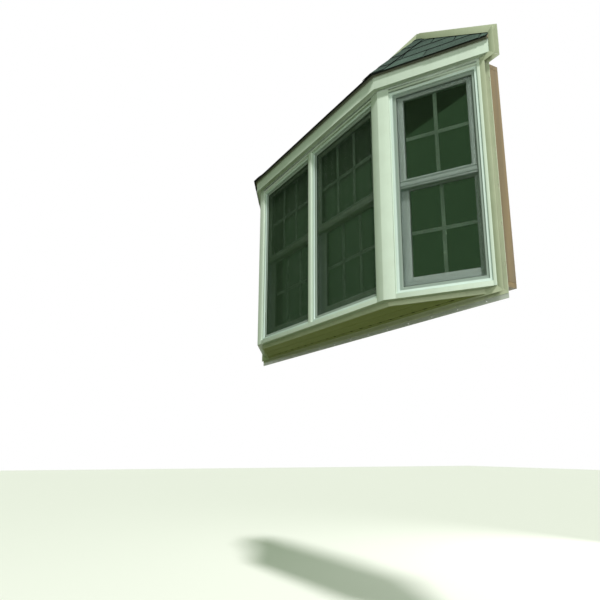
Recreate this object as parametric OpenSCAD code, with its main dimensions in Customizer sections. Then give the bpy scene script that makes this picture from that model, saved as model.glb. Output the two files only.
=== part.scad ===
// Bay window: four double-hung units set at an angle, a hipped roof and a vented underside.
// The origin is on the back of the bottom mounting fin, at its middle.
// +X is to the right seen from outside, +Y goes into the house and +Z is up.

/* [Bay] */
// Width of the front between its outer corners
front_w = 1577; // [1300:1:2000]
// Distance from the mounting plane to the front
projection = 315; // [280:1:380]
// Angle between a side window and the wall
side_angle = 30; // [28:1:34]
// Height from the bottom of the sill band to the eave soffit
trim_h = 1245; // [1000:1:1500]
// Thickness of the siding that the bay stands in
siding_t = 18; // [12:1:25]
// Depth of the wall that the liner passes through
wall_depth = 116; // [90:1:180]

/* [Covers and trim] */
// Thickness of the covers and trim bands
cover_t = 16; // [14:1:20]
// Width of the corner cover on the front
corner_front_w = 60; // [45:1:90]
// Width of the corner cover on each side
corner_side_w = 68; // [45:1:90]
// Width of the cover between the two front windows
centre_w = 36; // [30:1:60]
// Width of the white strip beside the wall channel
wall_strip_w = 15; // [10:1:25]
// Open joint between a cover and a window frame
joint_w = 4; // [2:0.5:6]
// Height of the sill band
sill_band_h = 26; // [20:1:40]
// Height of the head trim
head_trim_h = 29; // [24:1:45]
// Height of the proud bead along the foot of the head trim
head_bead_h = 12; // [6:1:16]
// Depth of the proud bead
head_bead_t = 3; // [1:0.5:5]

/* [Window units] */
// Depth of the frame
frame_d = 100; // [98:1:120]
// Set-back of the frame behind the covers
frame_set = 12; // [8:1:13]
// Thickness of the frame's outer wall
frame_wall = 12; // [10:0.5:13]
// Width of the frame's front lip
lip_w = 14; // [13.5:0.5:18]
// Height of the stops inside the frame
stop_w = 20; // [16:1:22]
// Thickness of a sash
sash_t = 32; // [28:1:33]
// Width of the sash stiles, with their beads
stile_w = 54; // [36:1:64]
// Height of the upper sash's top rail
top_rail_w = 42; // [36:1:64]
// Height of the meeting rails
meeting_w = 53; // [36:1:64]
// Height of the lower sash's bottom rail
bottom_rail_w = 71; // [45:1:80]
// Height of the meeting rails over the middle of the opening
meeting_rise = 22; // [0:1:60]
// Width of the sloped glazing bead
bead_w = 12; // [6:1:14]
// Drop of the sloped glazing bead
bead_drop = 5; // [3:0.5:7]
// Thickness of one pane
pane_t = 3; // [2:0.5:4]
// Thickness of the sealed unit
unit_t = 14; // [12:1:16]
// Depth that the glass enters the sash
glass_bite = 6; // [4:1:8]
// Running clearance of a sash in its frame
sash_gap = 0.5; // [0.3:0.1:0.8]
// Width of the screen frame
screen_w = 18; // [12:1:24]
// Thickness of the screen frame
screen_t = 9; // [6:1:10]

/* [Boards and underside] */
// Thickness of the seat and head boards
board_t = 28; // [20:1:32]
// Set-back of the skirt behind the sill band
skirt_set = 38; // [25:1:60]
// Height of the skirt
skirt_h = 26; // [20:1:40]
// Thickness of the skirt
skirt_t = 12; // [6:1:16]
// Thickness of the soffit panels underneath
panel_t = 10; // [6:1:14]
// Spacing of the seams between the soffit panels
panel_pitch = 102; // [60:1:150]
// Distance from the wall channel to the first of those seams
seam_first = 38; // [25:1:60]

/* [Roof] */
// Reach of the fascia beyond the covers
fascia_out = 30; // [24:1:38]
// Thickness of the fascia
fascia_t = 8; // [6:1:12]
// Reach of the roof deck beyond the covers
eave_out = 40; // [40:1:60]
// Reach of the shingles beyond the deck
shingle_out = 12; // [6:1:20]
// Height of the deck's edge above the eave soffit
eave_rise = 91; // [85:1:130]
// Slope of the front of the roof, as rise over run
front_slope = 1.02; // [0.9:0.01:1.15]
// Half of the roof's width where it meets the wall at the top
hip_top_x = 810; // [790:1:830]
// Thickness of the roof deck
deck_t = 12; // [9:1:18]
// Exposed length of a course of shingles
exposure = 127; // [100:1:150]
// Thickness of a course at its lower edge
butt_t = 6; // [5:0.5:12]
// Thickness of a course at its upper end
head_t = 3; // [2:0.5:4]
// Width of a hip cap on each side of the hip
cap_w = 76; // [60:1:120]
// Width of a rafter
rafter_w = 38; // [30:1:50]
// Depth of a rafter
rafter_d = 89; // [70:1:100]
// Spacing of the rafters and of the ledger's bolts
rafter_pitch = 406.4; // [350:0.1:450]
// Diameter of the ledger's bolt holes
bolt_d = 11; // [8:0.5:14]

/* [Fastening] */
// Thickness of the mounting fin
fin_t = 1.5; // [1:0.1:3]
// Reach of the side fins beyond the bay
fin_w = 46; // [42:1:60]
// Drop of the bottom fin below the sill band
fin_drop = 70; // [60:1:90]
// Width of the channel's visible face
channel_face = 34; // [24:1:40]
// Thickness of the channel's walls
channel_t = 1.5; // [1:0.1:2.5]

/* [Hidden] */
$fn = 32;

white = [0.90, 0.92, 0.90];
vinyl = [0.93, 0.94, 0.92];
tan_green = [0.66, 0.70, 0.60];
slate = [0.33, 0.38, 0.38];
board = [0.80, 0.66, 0.47];
lumber = [0.84, 0.72, 0.53];
glazing = [0.30, 0.40, 0.36, 0.55];
mesh_grey = [0.28, 0.31, 0.30];
metal = [0.75, 0.77, 0.76];

// Bound for blocks that only cut other solids
far = 4000;
// Overlap of a cutting solid past the face that it cuts
eps = 1;
// Reach of the plan regions in front of the wall
plan_reach = 2 * projection;
// Fine open joint where two lengths meet at a mitre
cut_w = 0.4;
// Room between two pieces that only lie against each other
seat_gap = 0.3;

// How far the channel stands proud of the siding and laps over the ends of the bay and fascia
channel_proud = 4;
channel_lap = 2;
end_lap = 12;
// Room from the liner's outer face to the channel
liner_gap = 4;

// The plane of the channel's face and the far edge of the bay there
channel_y = -siding_t - channel_proud;
half_front = front_w / 2;
bay_end = half_front + (projection + channel_y) / tan(side_angle) - channel_lap;
roof_end = bay_end + fascia_out / sin(side_angle) + end_lap;
opening_x = bay_end - liner_gap;

// Heights
unit_z = sill_band_h + joint_w;
head_z = trim_h - head_trim_h - joint_w;
unit_h = head_z - unit_z;
eave_z = trim_h + eave_rise;
plate_z = head_z + board_t;

// Thickness of the eave soffit and of the top plate
soffit_t = 8;
plate_t = 38;

// Places of the units along the front and along a side
front_x0 = centre_w / 2 + joint_w;
front_x1 = half_front - corner_front_w - joint_w;
side_x0 = corner_side_w + joint_w;
side_x1 = (bay_end - half_front) / cos(side_angle) - wall_strip_w - joint_w;

// Depths inside a frame, from its front
screen_d = 10;
upper_d = 24;
track_gap = 4;
lower_d = upper_d + sash_t + track_gap;
unit_back = frame_set + frame_d;

function unit_w(w) = (w == 0 || w == 3) ? side_x1 - side_x0 : front_x1 - front_x0;

// Corner of the bay and its end at a plane y, for a surface moved outward by e
function corner(e) = [half_front + e * tan(side_angle / 2), -(projection + e)];
function end_x(e, y) = corner(e)[0] + (y - corner(e)[1]) / tan(side_angle);

// A point on the right side, at length s from the corner and depth d behind the covers
function side_point(s, d) = [half_front + s * cos(side_angle) - d * sin(side_angle),
    -projection + s * sin(side_angle) + d * cos(side_angle)];

// The point of a right side's plane at depth d that lies at a given x
function side_at(x, d) = [x, -projection + (x - half_front) * tan(side_angle) + d / cos(side_angle)];

// Outline of the bay in plan up to a plane y
function plan(e, y) = [[-end_x(e, y), y], [-corner(e)[0], corner(e)[1]],
    [corner(e)[0], corner(e)[1]], [end_x(e, y), y]];

// Height of the deck's upper face over a line parallel to an eave
side_run = eave_out + projection * cos(side_angle) - (hip_top_x - half_front) * sin(side_angle);
side_slope = front_slope * (projection + eave_out) / side_run;
function slope_of(side) = side == 0 ? front_slope : side_slope;
function deck_height(e, m) = eave_z + m * (eave_out - e);

module on_front() {
    translate([0, -projection, 0]) children();
}

module on_right() {
    translate([half_front, -projection, 0]) rotate([0, 0, side_angle]) children();
}

module flipped(on) {
    if (on) mirror([1, 0, 0]) children();
    else children();
}

// Units 0 and 3 stand on the left and right sides, 1 and 2 on the front
module at_unit(w) {
    flipped(w < 2) {
        if (w == 0 || w == 3) on_right() translate([side_x0, frame_set, unit_z]) children();
        else on_front() translate([front_x0, frame_set, unit_z]) children();
    }
}

// Plan region that belongs to one side of the bay, back to a plane y and out to x = end.
// Its mitre lines run through the foot and reach the plane y = 0 at mitre_x.
// The front's own region is held back from them by the joint.
module region(side, foot, mitre_x, y, end, joint) {
    lead = (mitre_x - foot[0]) / -foot[1];
    tip = [mitre_x - lead * plan_reach, -plan_reach];
    back = [mitre_x + lead * y, y];
    if (side == 0)
        polygon([[joint - back[0], y], [joint - tip[0], tip[1]], [tip[0] - joint, tip[1]],
            [back[0] - joint, y]]);
    else
        flipped(side < 0) polygon([back, tip, [end, tip[1]], [end, y]]);
}

// A profile of points [outward, up] carried along one side of the bay
module along(side, profile) {
    length = 2 * far;
    if (side == 0)
        on_front() translate([-far, 0, 0]) rotate([90, 0, 90])
            linear_extrude(length) polygon([for (p = profile) [-p[0], p[1]]]);
    else
        flipped(side < 0) on_right() translate([-far, 0, 0]) rotate([90, 0, 90])
            linear_extrude(length) polygon([for (p = profile) [-p[0], p[1]]]);
}

// The same profile carried round all three sides, mitred at the corners
module around(profile, y = 0, end = bay_end) {
    for (side = [-1, 0, 1])
        intersection() {
            along(side, profile);
            translate([0, 0, -far]) linear_extrude(2 * far)
                region(side, corner(0), corner(-projection)[0], y, end, cut_w);
        }
}

// Rectangular strip in a profile
function strip(e0, e1, z0, z1) = [[e0, z0], [e1, z0], [e1, z1], [e0, z1]];

// One roof slope cut at its hips, from a profile made for that slope
module slope_piece(side, profile, y, joint = cut_w) {
    intersection() {
        along(side, profile);
        linear_extrude(far) region(side, corner(eave_out), hip_top_x, y, roof_end, joint);
    }
}

// Opening of a rectangular moulded frame. Each contour is a list of [depth, inset].
module moulded_opening(w, h, side, bottom, top) {
    last_side = len(side) - 1;
    last_top = len(top) - 1;
    intersection() {
        translate([0, 0, -eps]) linear_extrude(h + 2 * eps)
            polygon(concat([for (p = side) [p[1], p[0]]],
                [for (i = [last_side:-1:0]) [w - side[i][1], side[i][0]]]));
        translate([-eps, 0, 0]) rotate([90, 0, 90]) linear_extrude(w + 2 * eps)
            polygon(concat(bottom, [for (i = [last_top:-1:0]) [top[i][0], h - top[i][1]]]));
    }
}

// Window frame

stop_t = 2.5;
blind_stop_d = screen_d + screen_t + seat_gap;
parting_d = upper_d + sash_t + sash_gap;
parting_t = track_gap - 1;
stop_back = lower_d + sash_t + sash_gap;
// Steps of the sill: its fall to the outside, the stop behind the screen, the tray between
// the sashes, the rest of the lower sash and the stool behind it
sill_fall = 1;
blind_h = 5;
tray_h = 2;
sill_rise = 8;
lower_rest = lip_w + sill_rise;
stool_rise = 6;
stool_h = stop_w + sill_rise + stool_rise;

function frame_contour(lip, wall, stop) = [[-eps, lip], [blind_stop_d, lip],
    [blind_stop_d, stop], [blind_stop_d + stop_t, stop], [blind_stop_d + stop_t, wall],
    [parting_d, wall], [parting_d, stop], [parting_d + parting_t, stop],
    [parting_d + parting_t, wall], [stop_back, wall], [stop_back, stop],
    [frame_d + eps, stop]];

sill_contour = [[-eps, lip_w - sill_fall], [screen_d, lip_w], [blind_stop_d, lip_w],
    [blind_stop_d, lip_w + blind_h], [blind_stop_d + stop_t, lip_w + blind_h],
    [blind_stop_d + stop_t, lip_w + tray_h], [parting_d, lip_w + tray_h + sill_fall],
    [parting_d, lower_rest], [stop_back, lower_rest], [stop_back, stool_h],
    [frame_d + eps, stool_h]];

module window_frame(w) {
    width = unit_w(w);
    contour = frame_contour(lip_w, frame_wall, stop_w);
    color(vinyl) at_unit(w) difference() {
        cube([width, frame_d, unit_h]);
        moulded_opening(width, unit_h, contour, sill_contour, contour);
    }
}

// Sashes

glass_d = (sash_t - unit_t) / 2;
meeting_z = lower_rest + (unit_h - lower_rest - frame_wall) / 2 + meeting_rise;
lower_h = meeting_z + meeting_w / 2 - lower_rest - sash_gap;
upper_z = meeting_z - meeting_w / 2;
upper_h = unit_h - frame_wall - sash_gap - upper_z;
function sash_width(w) = unit_w(w) - 2 * (frame_wall + sash_gap);

function bead_contour(rail) = [[-eps, rail - bead_w], [0, rail - bead_w],
    [bead_drop, rail], [sash_t - bead_drop, rail], [sash_t, rail - bead_w],
    [sash_t + eps, rail - bead_w]];

module sash(w, h, bottom_w, top_w) {
    width = sash_width(w);
    difference() {
        cube([width, sash_t, h]);
        moulded_opening(width, h, bead_contour(stile_w), bead_contour(bottom_w),
            bead_contour(top_w));
        translate([stile_w - glass_bite, glass_d, bottom_w - glass_bite])
            cube([width - 2 * (stile_w - glass_bite), unit_t,
                h - bottom_w - top_w + 2 * glass_bite]);
    }
}

// The two panes of a sealed unit
module panes(w, h, bottom_w, top_w) {
    width = sash_width(w) - 2 * (stile_w - glass_bite);
    for (d = [glass_d, glass_d + unit_t - pane_t])
        translate([stile_w - glass_bite, d, bottom_w - glass_bite])
            cube([width, pane_t, h - bottom_w - top_w + 2 * glass_bite]);
}

module at_upper(w) {
    at_unit(w) translate([frame_wall + sash_gap, upper_d, upper_z]) children();
}

module at_lower(w) {
    at_unit(w) translate([frame_wall + sash_gap, lower_d, lower_rest]) children();
}

module upper_sash(w) {
    color(vinyl) at_upper(w) sash(w, upper_h, meeting_w, top_rail_w);
}

module lower_sash(w) {
    color(vinyl) at_lower(w) sash(w, lower_h, bottom_rail_w, meeting_w);
}

module glass(w) {
    color(glazing) {
        at_upper(w) panes(w, upper_h, meeting_w, top_rail_w);
        at_lower(w) panes(w, lower_h, bottom_rail_w, meeting_w);
    }
}

// Insect screens

screen_gap = 0.3;
module at_screen(w) {
    at_unit(w) translate([lip_w + screen_gap, screen_d, lip_w + screen_gap]) children();
}

function screen_width(w) = unit_w(w) - 2 * (lip_w + screen_gap);
screen_h = unit_h - 2 * (lip_w + screen_gap);

module screen_frame(w) {
    width = screen_width(w);
    bevel = 3;
    contour = [[-eps, screen_w - bevel], [0, screen_w - bevel], [bevel, screen_w],
        [screen_t + eps, screen_w]];
    color(white) at_screen(w) difference() {
        cube([width, screen_t, screen_h]);
        moulded_opening(width, screen_h, contour, contour, contour);
    }
}

// Thickness of the screen cloth
mesh_t = 1;
module insect_mesh() {
    color(mesh_grey) for (w = [0:3])
        at_screen(w) translate([screen_w, screen_t / 2, screen_w])
            cube([screen_width(w) - 2 * screen_w, mesh_t, screen_h - 2 * screen_w]);
}

// Cam locks on the meeting rails, one on a narrow unit and two on a wide one
lock_l = 62;
lock_w = 20;
lock_base_h = 3;
lock_hub_h = 9;
lock_hub_w = 18;
lever_l = 38;
lever_w = 8;
lever_h = 3;
module lock() {
    for (dx = [-1, 1])
        translate([dx * (lock_l - lock_w) / 2, 0, 0]) cylinder(h = lock_base_h, d = lock_w);
    translate([-(lock_l - lock_w) / 2, -lock_w / 2, 0])
        cube([lock_l - lock_w, lock_w, lock_base_h]);
    cylinder(h = lock_hub_h, d = lock_hub_w);
    translate([0, -lever_w / 2, lock_hub_h - lever_h]) cube([lever_l, lever_w, lever_h]);
    translate([lever_l, 0, lock_hub_h - lever_h]) cylinder(h = lever_h, d = lever_w);
}

module sash_locks() {
    color(metal) for (w = [0:3]) {
        middle = sash_width(w) / 2;
        spread = (w == 0 || w == 3) ? [0] : [-sash_width(w) / 4, sash_width(w) / 4];
        for (dx = spread)
            at_lower(w) translate([middle + dx, sash_t / 2, lower_h]) lock();
    }
}

// Boards, posts and jambs

module board_outline() {
    intersection() {
        union() {
            polygon(plan(-cover_t, 0));
            translate([-opening_x, -eps]) square([2 * opening_x, wall_depth + eps]);
        }
        translate([-opening_x, -far]) square([2 * opening_x, 2 * far]);
    }
}

module seat_board() {
    color(board) translate([0, 0, unit_z - board_t]) linear_extrude(board_t) board_outline();
}

module head_board() {
    color(board) translate([0, 0, head_z]) linear_extrude(board_t) board_outline();
}

module top_plate() {
    color(lumber) around(strip(-cover_t - rafter_d, -cover_t, plate_z, plate_z + plate_t),
        -rafter_w, opening_x);
}

module wall_jamb(side) {
    inner = side_point(side_x1, unit_back);
    color(board) flipped(side < 0) translate([0, 0, unit_z]) linear_extrude(unit_h)
        polygon([side_point(side_x1, cover_t), side_at(opening_x, cover_t),
            [opening_x, wall_depth], [inner[0], wall_depth], inner]);
}

module corner_post(side) {
    inner = corner(-unit_back);
    color(board) flipped(side < 0) translate([0, 0, unit_z]) linear_extrude(unit_h)
        polygon([[front_x1, -projection + cover_t], corner(-cover_t),
            side_point(side_x0, cover_t), side_point(side_x0, unit_back), inner,
            [front_x1, -projection + unit_back]]);
}

module centre_post() {
    color(board) on_front() translate([-front_x0, cover_t, unit_z])
        cube([2 * front_x0, frame_d + frame_set - cover_t, unit_h]);
}

module mounting_fin() {
    z0 = unit_z - board_t;
    color(metal) translate([-bay_end - fin_w, -fin_t, -fin_drop])
        cube([2 * (bay_end + fin_w), fin_t, fin_drop + z0]);
}

module side_fins() {
    z0 = unit_z - board_t;
    color(metal) for (side = [-1, 1])
        flipped(side < 0) translate([opening_x, -fin_t, z0])
            cube([bay_end + fin_w - opening_x, fin_t, trim_h - z0]);
}

// Covers and trim

// The covers end this far under the eave soffit
cover_drop = 9;
cover_h = trim_h - cover_drop;

// Plan of a corner cover and of the trim beside the wall, reaching out past their faces by out
module corner_outline(out = 0) {
    front_end = half_front - corner_front_w;
    polygon([[front_end, -projection - out], corner(out), side_point(corner_side_w, -out),
        side_point(corner_side_w, cover_t), corner(-cover_t), [front_end, -projection + cover_t]]);
}

module wall_outline(out = 0) {
    start = side_x1 + joint_w;
    polygon([side_point(start, -out), side_at(bay_end + out, -out),
        side_at(bay_end + out, cover_t), side_point(start, cover_t)]);
}

module corner_cover(side) {
    color(white) flipped(side < 0) linear_extrude(cover_h) corner_outline();
}

module centre_cover() {
    color(white) on_front() translate([-centre_w / 2, 0, sill_band_h])
        cube([centre_w, cover_t, head_z + joint_w - sill_band_h]);
}

module wall_trim() {
    color(white) for (side = [-1, 1])
        flipped(side < 0) linear_extrude(cover_h) wall_outline();
}

// The places of the covers, to be cut from the trims that run between them
module cover_places() {
    for (side = [-1, 1]) flipped(side < 0) translate([0, 0, -eps]) linear_extrude(cover_h + eps) {
        corner_outline(eps);
        wall_outline(eps);
    }
}

skirt_in = -skirt_set - skirt_t;
cap_t = unit_z - board_t;
module sill_trim() {
    color(white) {
        difference() {
            around(strip(-cover_t, 0, 0, sill_band_h), channel_y);
            cover_places();
        }
        around(strip(skirt_in, -cover_t, 0, cap_t), channel_y);
    }
}

module head_trim() {
    z0 = head_z + joint_w;
    bead_z = z0 + head_bead_h;
    color(white) {
        difference() {
            around([[-cover_t, z0], [0, z0], [0, bead_z], [-head_bead_t, bead_z],
                [-head_bead_t, cover_h], [-cover_t, cover_h]], channel_y);
            cover_places();
        }
        around(strip(-cover_t, 0, cover_h, trim_h), channel_y);
    }
}

// The skirt has a proud lip along its foot
module skirt() {
    lip_h = 8;
    lip_out = 2;
    face = -skirt_set - lip_out;
    color(tan_green) around([[skirt_in, 0], [skirt_in, -skirt_h], [-skirt_set, -skirt_h],
        [-skirt_set, -skirt_h + lip_h], [face, -skirt_h + lip_h], [face, 0]], channel_y);
}

// Soffit panels just above the skirt's foot, with a groove at each seam
module bottom_soffit() {
    seam = 4;
    soffit_rise = 3;
    z0 = soffit_rise - skirt_h;
    last = 3 * seam - projection - skirt_in;
    color(tan_green) difference() {
        translate([0, 0, z0]) linear_extrude(panel_t) intersection() {
            polygon(plan(skirt_in, channel_y));
            translate([-bay_end, -far]) square([2 * bay_end, far + channel_y]);
        }
        for (y = [channel_y - seam_first:-panel_pitch:last])
            translate([-far, y - seam / 2, z0 - eps])
                cube([2 * far, seam, seam + eps]);
    }
}

// Roof

// Height of a plane that lies t under the deck's upper face
function under(e, m, t) = deck_height(e, m) - t * sqrt(1 + m * m);
function under_deck(e, m) = under(e, m, deck_t);
// How far the roof's profiles run back from their eave, past the far end of the roof
up_reach = -front_w - 2 * projection;
roof_back = -fin_t;

// The fascia stands just under the lower of the two decks that meet at a corner
fascia_lap = 2;
fascia_z = trim_h - fascia_lap;
fascia_in = fascia_out - fascia_t;
function fascia_top(e) = min(under_deck(e, front_slope), under_deck(e, side_slope)) - seat_gap;
module fascia() {
    color(white) around([[fascia_in, fascia_z], [fascia_out, fascia_z],
        [fascia_out, fascia_top(fascia_out)], [fascia_in, fascia_top(fascia_in)]],
        roof_back, roof_end);
}

module eave_soffit() {
    color(white) around(strip(-cover_t, fascia_in, trim_h, trim_h + soffit_t),
        roof_back, roof_end);
}

module roof_deck() {
    color(board) for (side = [-1, 0, 1]) {
        m = slope_of(side);
        slope_piece(side, [[eave_out, eave_z], [eave_out, under_deck(eave_out, m)],
            [up_reach, under_deck(up_reach, m)], [up_reach, deck_height(up_reach, m)]], roof_back);
    }
}

// The space inside the fascia, back to a plane y, under three planes that lie t below the
// deck's upper faces
module roof_space(t, y = 0) {
    intersection() {
        linear_extrude(far) polygon(plan(fascia_in - seat_gap, y));
        translate([-roof_end, -far, 0]) cube([2 * roof_end, 2 * far, far]);
        intersection_for (side = [-1, 0, 1])
            along(side, [[eave_out, 0], [eave_out, under(eave_out, slope_of(side), t)],
                [up_reach, under(up_reach, slope_of(side), t)], [up_reach, 0]]);
    }
}

// Plan strip of width w to each side of the right hip, from its foot to past the wall
hip_foot = corner(eave_out);
hip_turn = atan((hip_top_x - hip_foot[0]) / -hip_foot[1]);
module along_hip(w) {
    translate(hip_foot) rotate([0, 0, -hip_turn]) translate([-w, hip_foot[1]])
        square([2 * w, -3 * hip_foot[1]]);
}

rafter_under = deck_t + rafter_d;
frame_foot_z = plate_z + plate_t;
module rafters() {
    rows = floor((hip_top_x - rafter_w) / rafter_pitch);
    side_pitch = rafter_pitch / 2;
    side_rows = floor((side_x1 - rafter_w) / side_pitch);
    color(lumber) difference() {
        intersection() {
            roof_space(deck_t);
            translate([-far, -far, frame_foot_z]) cube([2 * far, far - rafter_w, far]);
            union() {
                for (i = [-rows:rows])
                    translate([i * rafter_pitch - rafter_w / 2, -far, 0])
                        cube([rafter_w, 2 * far, far]);
                for (side = [-1, 1]) flipped(side < 0) {
                    linear_extrude(far) along_hip(rafter_w / 2);
                    intersection() {
                        on_right() for (i = [1:side_rows])
                            translate([i * side_pitch, -far, 0]) cube([rafter_w, 2 * far, far]);
                        translate([hip_top_x, -far, 0]) cube([far, 2 * far, far]);
                    }
                }
            }
        }
        roof_space(rafter_under, eps);
    }
}

module roof_ledger() {
    bolt_z = under(-projection, front_slope, deck_t + rafter_d / 2);
    color(lumber) difference() {
        intersection() {
            roof_space(deck_t);
            translate([-far, -rafter_w, frame_foot_z]) cube([2 * far, rafter_w, far]);
        }
        roof_space(rafter_under, eps);
        for (i = [-1.5:1:1.5])
            translate([i * rafter_pitch, eps, bolt_z]) rotate([90, 0, 0])
                cylinder(h = rafter_w + 2 * eps, d = bolt_d);
    }
}

// Point at length s up a slope and height h over its deck
function slope_point(s, h, m) = let (k = sqrt(1 + m * m))
    [eave_out - s / k + h * m / k, eave_z + s * m / k + h / k];

// Saw-tooth profile of lapped courses, from start, lifted by lift over the deck
function courses(m, start, count, lift) = [for (i = [0:count - 1]) each
    [slope_point(start + i * exposure, lift + butt_t, m),
     slope_point(start + (i + 1) * exposure, lift + head_t, m)]];
function covering(m, start, count, lift) = concat(
    [slope_point(start, lift, m)], courses(m, start, count, lift),
    [slope_point(start + count * exposure, lift, m)]);

shingle_start = -shingle_out * sqrt(1 + front_slope * front_slope);
course_count = ceil((projection + eave_out) * sqrt(1 + side_slope * side_slope) / exposure) + 1;

module roof_shingles() {
    color(slate) for (side = [-1, 0, 1])
        slope_piece(side, covering(slope_of(side), shingle_start, course_count, 0), roof_back);
}

// A flat strip over the courses, from just inside their lowest edge
function cap_profile(m) = let (s0 = shingle_start + butt_t, s1 = course_count * exposure,
        low = butt_t + seat_gap, high = low + butt_t)
    [slope_point(s0, low, m), slope_point(s0, high, m), slope_point(s1, high, m),
        slope_point(s1, low, m)];

module hip_caps() {
    color(slate) for (flip = [false, true]) flipped(flip)
        for (side = [0, 1])
            intersection() {
                slope_piece(side, cap_profile(slope_of(side)), channel_y - seat_gap, 0);
                linear_extrude(far) along_hip(cap_w);
            }
}

// Drip edge along the deck's edge, hanging down in front of the fascia
module drip_edge() {
    drop = 20;
    sheet_t = 2;
    out = eave_out + sheet_t;
    color(metal) for (side = [-1, 0, 1])
        slope_piece(side, [[eave_out, eave_z - drop], [out, eave_z - drop],
            [out, deck_height(out, slope_of(side))], [eave_out, eave_z]], roof_back);
}

// Channel round the bay, where the siding ends

// Room between the shingles and the channel over them, and the reach of the nailing flange
peak_gap = 2;
flange_w = 12;
shingle_lift = butt_t * sqrt(1 + side_slope * side_slope);
peak_z = deck_height(-projection, front_slope) + shingle_lift + peak_gap;
trace_fall = side_slope * sin(side_angle);
step_z = fascia_z - seat_gap;
// The roof falls away from the wall by this much before it comes out under the channel's face
face_fall = front_slope * (-channel_y - channel_t);

// Outline at a distance w from the bay, with the part over the roof lowered by drop
function channel_line(w, drop) = let (k = sqrt(1 + trace_fall * trace_fall),
        shift = w * (k - 1) / trace_fall, top = peak_z - drop + w,
        peak_x = hip_top_x + shift, end = roof_end + w)
    [[end, step_z - w], [end, top - (end - peak_x) * trace_fall], [peak_x, top]];
function channel_outline(w, drop) = let (right = concat(
        [[bay_end + w, -w], [bay_end + w, step_z - w]], channel_line(w, drop)),
        n = len(right) - 1)
    concat(right, [for (i = [n:-1:0]) [-right[i][0], right[i][1]]]);

module channel_plate(w, y0, y1, drop_out, drop_in) {
    translate([0, y1, 0]) rotate([90, 0, 0]) linear_extrude(y1 - y0) difference() {
        polygon(channel_outline(w, drop_out));
        polygon(channel_outline(0, drop_in));
    }
}

module channel_ring() {
    channel_plate(channel_face, channel_y, channel_y + channel_t, face_fall, face_fall);
    channel_plate(channel_t, channel_y, -fin_t, 0, 0);
    channel_plate(channel_face + flange_w, -fin_t - channel_t, -fin_t, face_fall, 0);
}

// Sheet behind the channel, from the ledger up over the roof line
module roof_flashing() {
    color(metal) difference() {
        intersection() {
            rotate([90, 0, 0]) linear_extrude(fin_t)
                polygon(channel_outline(channel_face + flange_w, face_fall));
            translate([-far, -far, trim_h]) cube([2 * far, 2 * far, far]);
        }
        roof_space(deck_t);
        translate([-bay_end, -far, 0]) cube([2 * bay_end, 2 * far, frame_foot_z]);
    }
}

// Height of the corner where a side length and the roof length meet, and the angle of their
// mitre over the level
eave_corner_z = channel_line(0, face_fall)[1][1];
eave_mitre = (90 - atan(trace_fall)) / 2;

// Cut where two lengths of channel meet at a mitre, turned down by turn from the wall's +X
module mitre_cut(x, z, turn) {
    cut_l = 4 * channel_face;
    for (side = [-1, 1]) flipped(side < 0)
        translate([x, 0, z]) rotate([0, turn, 0])
            translate([-eps, -far, -cut_w / 2]) cube([cut_l, 2 * far, cut_w]);
}

// The part of the ring inside an outline drawn on the wall
module channel_within(outline) {
    intersection() {
        channel_ring();
        translate([0, far / 2, 0]) rotate([90, 0, 0]) linear_extrude(far) polygon(outline);
    }
}

// Reach of the outlines that part the channel's lengths
part_reach = 3 * channel_face;

module bottom_channel() {
    color(tan_green) difference() {
        channel_within([[-bay_end, 0], [bay_end, 0], [bay_end + part_reach, -part_reach],
            [-bay_end - part_reach, -part_reach]]);
        mitre_cut(bay_end, 0, 45);
    }
}

part_x = roof_end + part_reach;
part_z = eave_corner_z + part_reach * tan(eave_mitre);

module side_channels() {
    color(tan_green) for (side = [-1, 1]) flipped(side < 0) difference() {
        channel_within([[bay_end - eps, eps], [part_x, bay_end - part_x], [part_x, part_z],
            [roof_end, eave_corner_z], [bay_end - eps, eave_corner_z]]);
        mitre_cut(bay_end, 0, 45);
        mitre_cut(bay_end, step_z, 45);
        mitre_cut(roof_end, step_z, 45);
        mitre_cut(roof_end, eave_corner_z, -eave_mitre);
    }
}

// The mitre at the peak halves the angle between the level and the falling length
module roof_channel() {
    peak_mitre = 90 - atan(trace_fall) / 2;
    color(tan_green) difference() {
        channel_within([[-roof_end, eave_corner_z], [roof_end, eave_corner_z], [part_x, part_z],
            [part_x, far], [-part_x, far], [-part_x, part_z]]);
        mitre_cut(roof_end, eave_corner_z, -eave_mitre);
        mitre_cut(hip_top_x, peak_z - face_fall, -peak_mitre);
    }
}

seat_board();
head_board();
top_plate();
wall_jamb(-1);  // left_wall_jamb
wall_jamb(1);  // right_wall_jamb
mounting_fin();
side_fins();
corner_post(-1);  // left_corner_post
corner_post(1);  // right_corner_post
centre_post();
window_frame(0);  // left_frame
window_frame(1);  // front_left_frame
window_frame(2);  // front_right_frame
window_frame(3);  // right_frame
upper_sash(0);  // left_upper_sash
upper_sash(1);  // front_left_upper_sash
upper_sash(2);  // front_right_upper_sash
upper_sash(3);  // right_upper_sash
lower_sash(0);  // left_lower_sash
lower_sash(1);  // front_left_lower_sash
lower_sash(2);  // front_right_lower_sash
lower_sash(3);  // right_lower_sash
glass(0);  // left_glass
glass(1);  // front_left_glass
glass(2);  // front_right_glass
glass(3);  // right_glass
screen_frame(0);  // left_screen_frame
screen_frame(1);  // front_left_screen_frame
screen_frame(2);  // front_right_screen_frame
screen_frame(3);  // right_screen_frame
insect_mesh();
sash_locks();
corner_cover(-1);  // left_corner_cover
corner_cover(1);  // right_corner_cover
centre_cover();
wall_trim();
sill_trim();
head_trim();
fascia();
eave_soffit();
skirt();
bottom_soffit();
roof_deck();
rafters();
roof_ledger();
roof_shingles();
hip_caps();
drip_edge();
roof_flashing();
bottom_channel();
side_channels();
roof_channel();
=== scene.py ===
"""Bay window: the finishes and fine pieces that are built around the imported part."""

import math

import bmesh
import bpy
from mathutils import Matrix, Vector


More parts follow.
